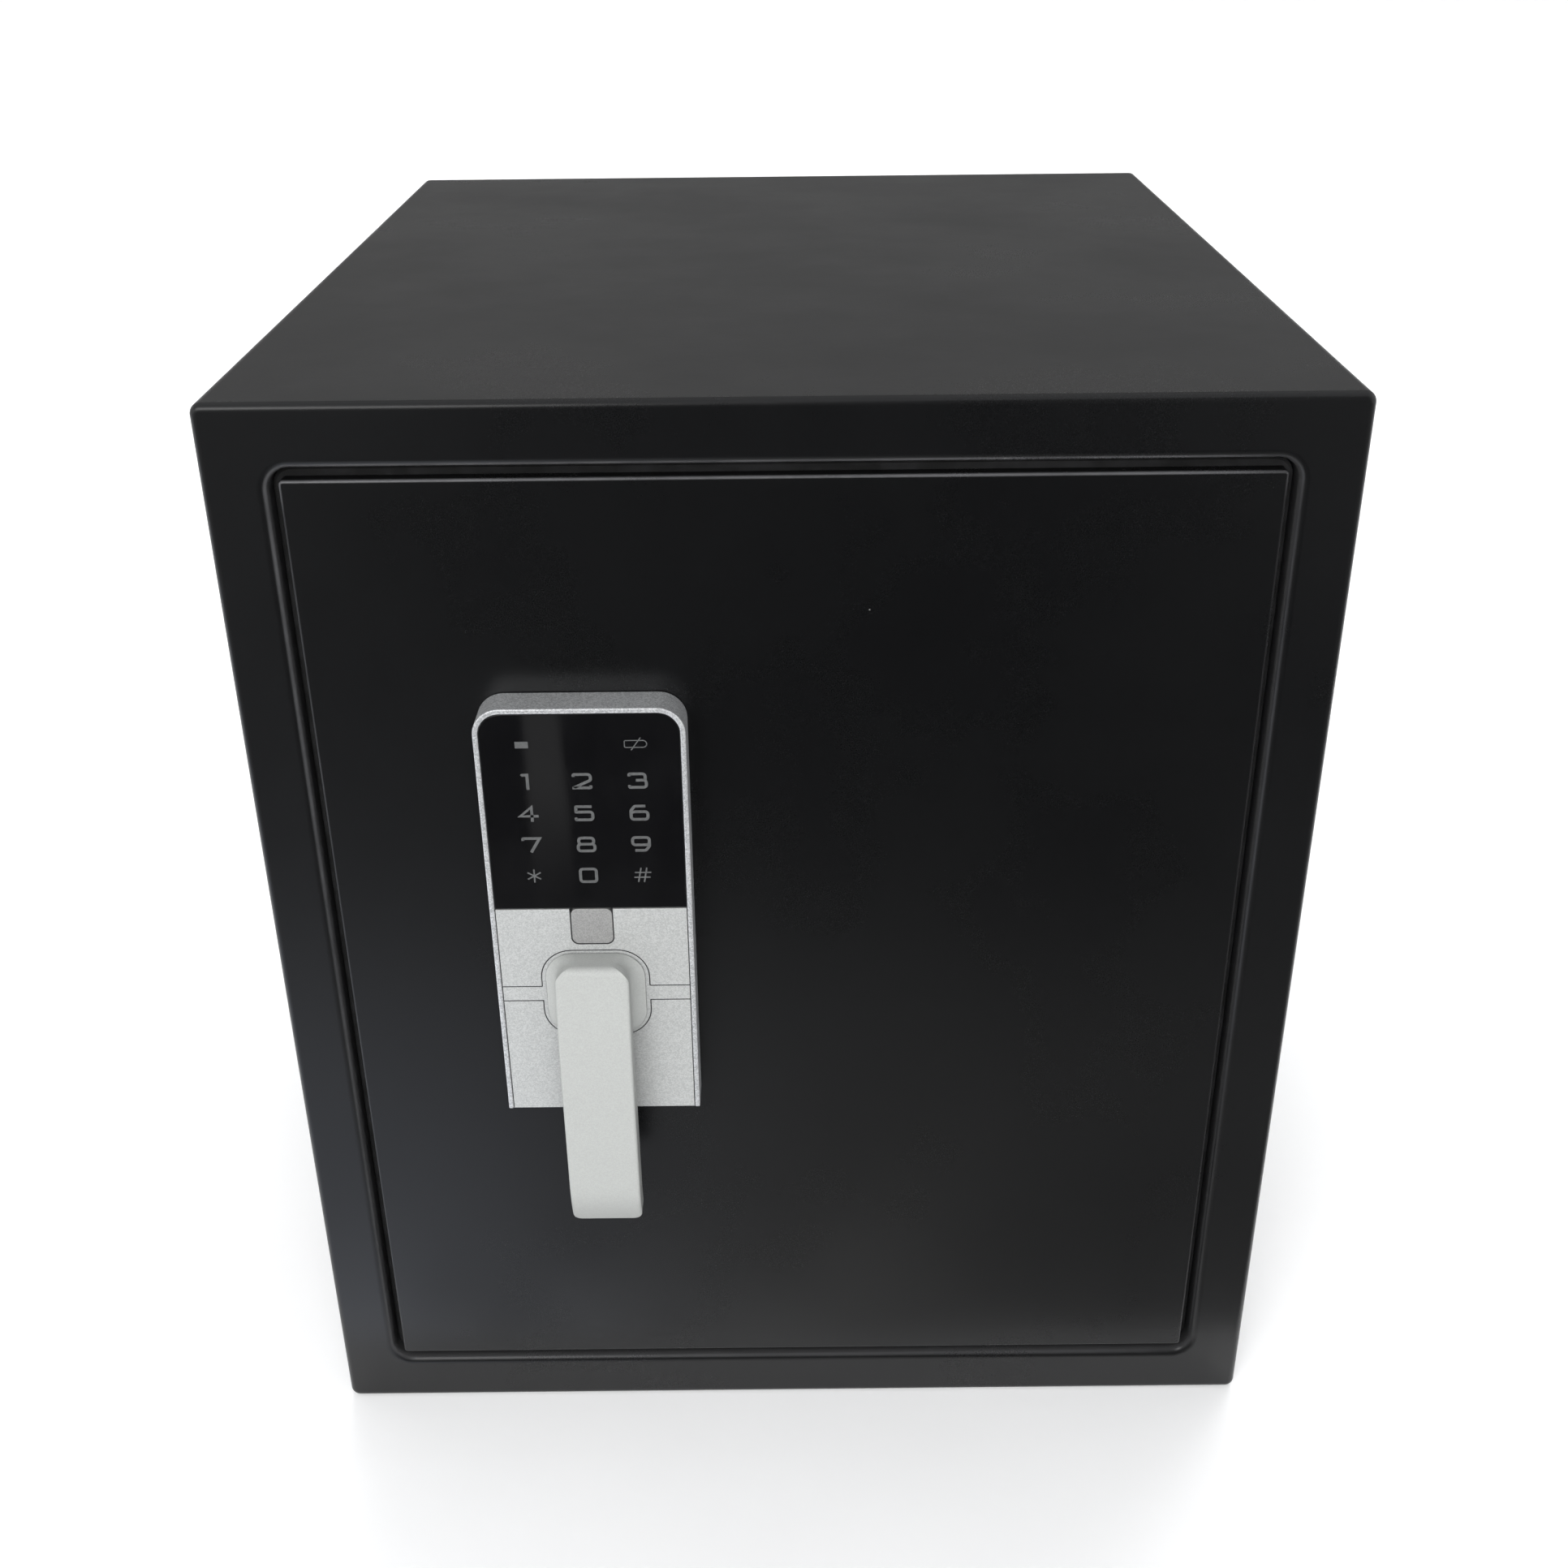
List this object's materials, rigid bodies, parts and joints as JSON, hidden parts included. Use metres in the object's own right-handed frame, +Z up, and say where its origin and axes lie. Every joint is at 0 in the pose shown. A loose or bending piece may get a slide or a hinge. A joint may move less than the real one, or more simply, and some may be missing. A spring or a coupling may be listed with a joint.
{
  "type": "electronic box safe",
  "caption": "Free-standing steel box safe with a flush hinged door, a touch keypad, a lever handle, sliding locking bolts and an inner shelf.",
  "frame": {"origin": "middle of the cabinet's underside, halfway between its front and back faces", "axes": "+Z up, -Y towards the door and the user, +X to the right seen from the front"},
  "size_m": [0.35, 0.428, 0.4],
  "materials": {
    "cabinet_paint": "fine-texture satin powder coat",
    "door_paint": "fine-texture satin powder coat",
    "felt": "needle felt",
    "zinc": "bright zinc plate",
    "steel": "turned steel",
    "chrome": "polished chrome",
    "nylon": "natural nylon",
    "silver_paint": "metallic silver paint",
    "housing_metal": "metallic silver paint on a die casting",
    "silver_cap": "metallic silver paint on plastic",
    "black_glass": "back-painted black glass",
    "board": "green solder mask",
    "foam": "closed-cell foam",
    "brass": "turned brass",
    "copper": "enamelled copper wire under tape",
    "black_plastic": "fine-texture ABS",
    "red_plastic": "moulded plastic",
    "cell_jacket": "printed cell sleeve with no text",
    "cable_jacket": "PVC sleeve"
  },
  "bodies": {
    "handle": {"handle_lever": "silver_paint", "spindle": "steel", "spindle_clip": "steel", "crank": "zinc"},
    "bolts": {"locking_bolts": "chrome", "bolt_carrier": "zinc", "bolt_rivets": "steel"},
    "blocker": {"blocker_pin": "steel", "blocker_spring": "steel"},
    "key_cap": {"key_cover": "silver_cap"},
    "override": {"override_plug": "brass", "override_cam": "steel"},
    "reset": {"reset_button": "red_plastic"},
    "battery_lid": {"battery_cover": "black_plastic"},
    "shelf_tray": {"shelf": "cabinet_paint"},
    "cabinet": {"front_frame": "cabinet_paint", "cabinet_wrap": "cabinet_paint", "back_panel": "cabinet_paint", "floor_mat": "felt", "shelf_rails": "cabinet_paint", "hinge_bracket_top": "cabinet_paint", "hinge_bracket_bottom": "cabinet_paint", "hinge_pin_top": "cabinet_paint", "hinge_pin_bottom": "cabinet_paint", "hinge_washer_top": "black_plastic", "hinge_washer_bottom": "black_plastic"},
    "door": {"hinge_bush_top": "door_paint", "hinge_bush_bottom": "door_paint", "door_plate": "door_paint", "door_pan": "door_paint", "dead_bar": "door_paint", "bolt_guide": "zinc", "bolt_bushes": "nylon", "back_cover": "door_paint", "cover_screws": "zinc", "spindle_bush": "brass", "lock_housing": "housing_metal", "lock_gasket": "foam", "keypad_glass": "black_glass", "keypad_board": "board", "upper_plate": "silver_paint", "lower_plate": "silver_paint", "escutcheon": "silver_paint", "lock_screws": "zinc", "override_cylinder": "zinc", "override_nut": "brass", "solenoid_frame": "zinc", "solenoid_coil": "copper", "control_board": "board", "board_posts": "brass", "battery_tray": "black_plastic", "batteries": "cell_jacket", "reset_bezel": "black_plastic", "keypad_cable": "cable_jacket", "battery_lead": "cable_jacket"}
  },
  "joints": [
    {"name": "door_hinge", "type": "hinge", "parent": "cabinet", "child": "door", "pos_m": [0.1275, -0.1885, 0.2], "axis": [0, 0, 1], "range_deg": [0, 110]},
    {"name": "handle_turn", "type": "hinge", "parent": "door", "child": "handle", "pos_m": [-0.065, -0.21, 0.2], "axis": [0, -1, 0], "range_deg": [0, 90]},
    {"name": "bolt_throw", "type": "slide", "parent": "door", "child": "bolts", "axis": [-1, 0, 0], "range_m": [0, 0.02]},
    {"name": "blocker_slide", "type": "slide", "parent": "door", "child": "blocker", "axis": [0, 0, -1], "range_m": [0, 0.005], "deforming": ["blocker_spring"]},
    {"name": "key_cover_pull", "type": "slide", "parent": "door", "child": "key_cap", "axis": [0, -1, 0], "range_m": [0, 0.02]},
    {"name": "override_plug_turn", "type": "hinge", "parent": "door", "child": "override", "pos_m": [-0.065, -0.2, 0.22655], "axis": [0, -1, 0], "range_deg": [0, 90]},
    {"name": "reset_button_press", "type": "slide", "parent": "door", "child": "reset", "axis": [0, -1, 0], "range_m": [0, 0.002], "stiffness_N_per_m": 300},
    {"name": "battery_cover_slide", "type": "slide", "parent": "door", "child": "battery_lid", "axis": [0, 0, -1], "range_m": [0, 0.025]},
    {"name": "shelf_lift", "type": "slide", "parent": "cabinet", "child": "shelf_tray", "axis": [0, 0, 1], "range_m": [0, 0.06]}
  ],
  "couplings": [
    {"joint": "bolt_throw", "follows": "handle_turn", "m_per_rad": 0.012732}
  ]
}
